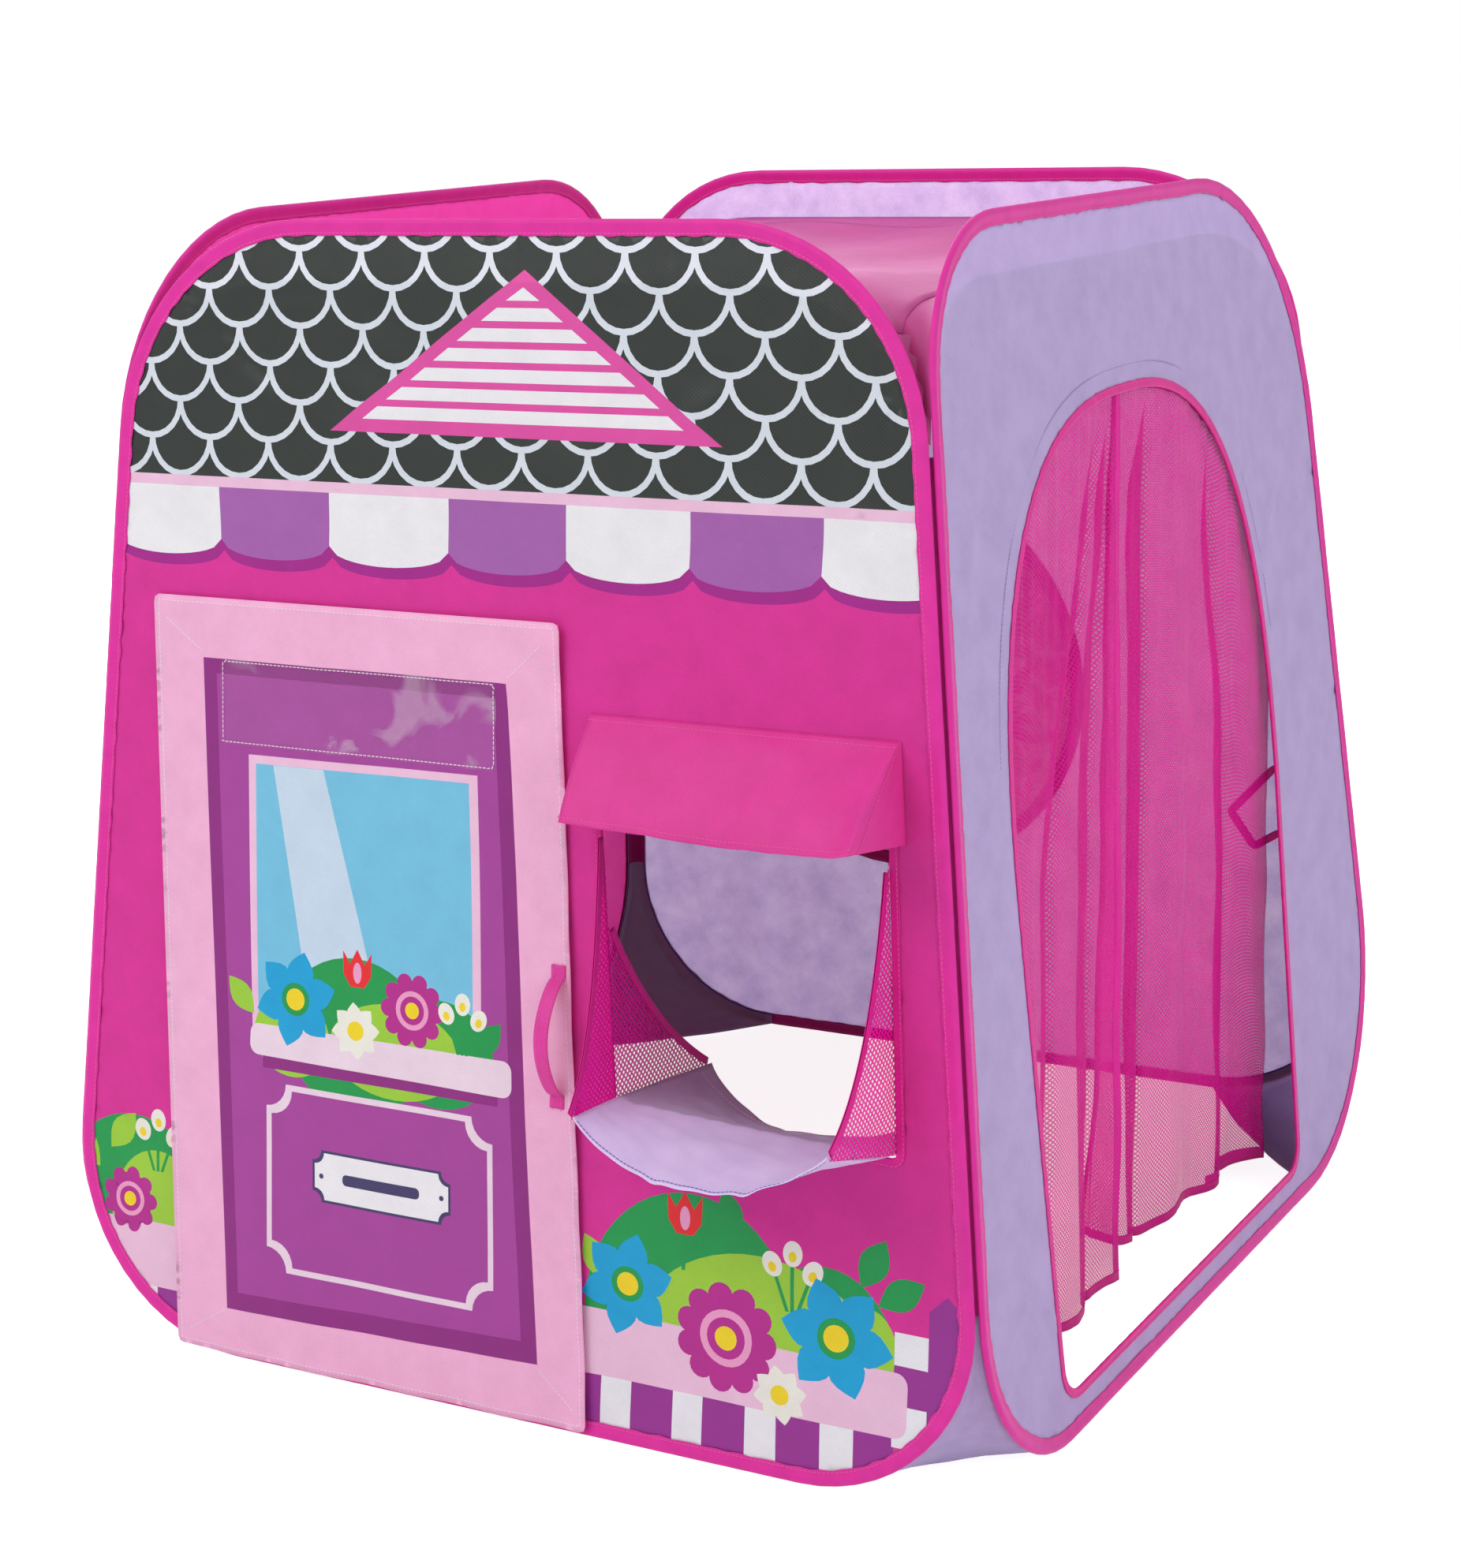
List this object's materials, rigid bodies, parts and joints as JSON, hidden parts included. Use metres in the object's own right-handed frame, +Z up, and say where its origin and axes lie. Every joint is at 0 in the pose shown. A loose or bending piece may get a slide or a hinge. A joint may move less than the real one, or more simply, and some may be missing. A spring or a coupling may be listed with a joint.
{
  "type": "kids play tent",
  "caption": "Pop-up play tent with four sprung hoop walls that fold flat, a door flap, a serving counter under an awning, an arched doorway with net curtains and a round window.",
  "frame": {"origin": "on the ground, under the middle of the tent's overall outline with its counter", "axes": "+Z up, -Y out of the front with the door flap and counter, +X out of the side with the arched doorway"},
  "size_m": [1.0316, 1.225, 1.1005],
  "materials": {
    "lilac_fabric": "matte non-woven",
    "pink_fabric": "matte non-woven",
    "printed_fabric": "matte print",
    "pink_binding": "matte tape",
    "magenta_tape": "matte tape",
    "door_fabric": "matte non-woven",
    "pink_net": "open net",
    "clear_film": "clear, glossy",
    "spring_steel": "drawn wire",
    "crimped_steel": "crimped tube",
    "pink_webbing": "woven webbing"
  },
  "bodies": {
    "front": {"front_wall": "printed_fabric", "front_hoop_sleeve": "pink_binding", "front_hoop_wire": "spring_steel", "front_hoop_ferrule": "crimped_steel", "doorway_binding": "magenta_tape", "counter_window_binding": "magenta_tape", "door_hinge_seam": "magenta_tape", "awning_hood": "pink_fabric", "counter_tray": "lilac_fabric", "counter_web_outer_left": "pink_net", "counter_web_tape_outer_left": "magenta_tape", "counter_web_outer_right": "pink_net", "counter_web_tape_outer_right": "magenta_tape", "counter_web_inner_left": "pink_net", "counter_web_tape_inner_left": "magenta_tape", "counter_web_inner_right": "pink_net", "counter_web_tape_inner_right": "magenta_tape", "roof_panel": "pink_fabric", "corner_gusset_front_right": "lilac_fabric", "corner_gusset_left_front": "lilac_fabric"},
    "door": {"door_flap": "door_fabric", "door_pocket": "clear_film", "door_handle": "pink_webbing"},
    "right": {"right_wall": "lilac_fabric", "right_hoop_sleeve": "pink_binding", "right_hoop_wire": "spring_steel", "right_hoop_ferrule": "crimped_steel", "arch_binding": "magenta_tape", "curtain_near": "pink_net", "curtain_far": "pink_net", "tie_back_strap": "pink_webbing", "corner_gusset_right_back": "lilac_fabric"},
    "left": {"left_wall": "pink_fabric", "left_hoop_sleeve": "pink_binding", "left_hoop_wire": "spring_steel", "left_hoop_ferrule": "crimped_steel", "corner_gusset_back_left": "lilac_fabric"},
    "back": {"back_wall": "lilac_fabric", "back_hoop_sleeve": "pink_binding", "back_hoop_wire": "spring_steel", "back_hoop_ferrule": "crimped_steel", "back_window": "clear_film", "back_window_ring_outer": "magenta_tape", "back_window_ring_inner": "magenta_tape"}
  },
  "joints": [
    {"name": "right_fold", "type": "hinge", "parent": "front", "child": "right", "pos_m": [0.51, -0.5225, 0], "axis": [0.0883, -0.0972, -0.9913], "range_deg": [0, 65], "stiffness_Nm_per_rad": 4, "deforming": ["roof_panel", "corner_gusset_front_right"]},
    {"name": "left_fold", "type": "hinge", "parent": "front", "child": "left", "pos_m": [-0.51, -0.5225, 0], "axis": [-0.0883, -0.0972, -0.9913], "range_deg": [0, 65], "deforming": ["corner_gusset_left_front", "corner_gusset_back_left"]},
    {"name": "back_fold", "type": "hinge", "parent": "right", "child": "back", "pos_m": [0.51, 0.6015, 0], "axis": [-0.0883, -0.0972, 0.9913], "range_deg": [0, 65], "deforming": ["corner_gusset_right_back"]},
    {"name": "door_swing", "type": "hinge", "parent": "front", "child": "door", "pos_m": [-0.369, -0.52928, 0.00468], "axis": [0.0254, -0.0976, -0.9949], "range_deg": [0, 140]}
  ],
  "couplings": [
    {"joint": "left_fold", "follows": "right_fold", "ratio": 1},
    {"joint": "back_fold", "follows": "right_fold", "ratio": 1}
  ]
}
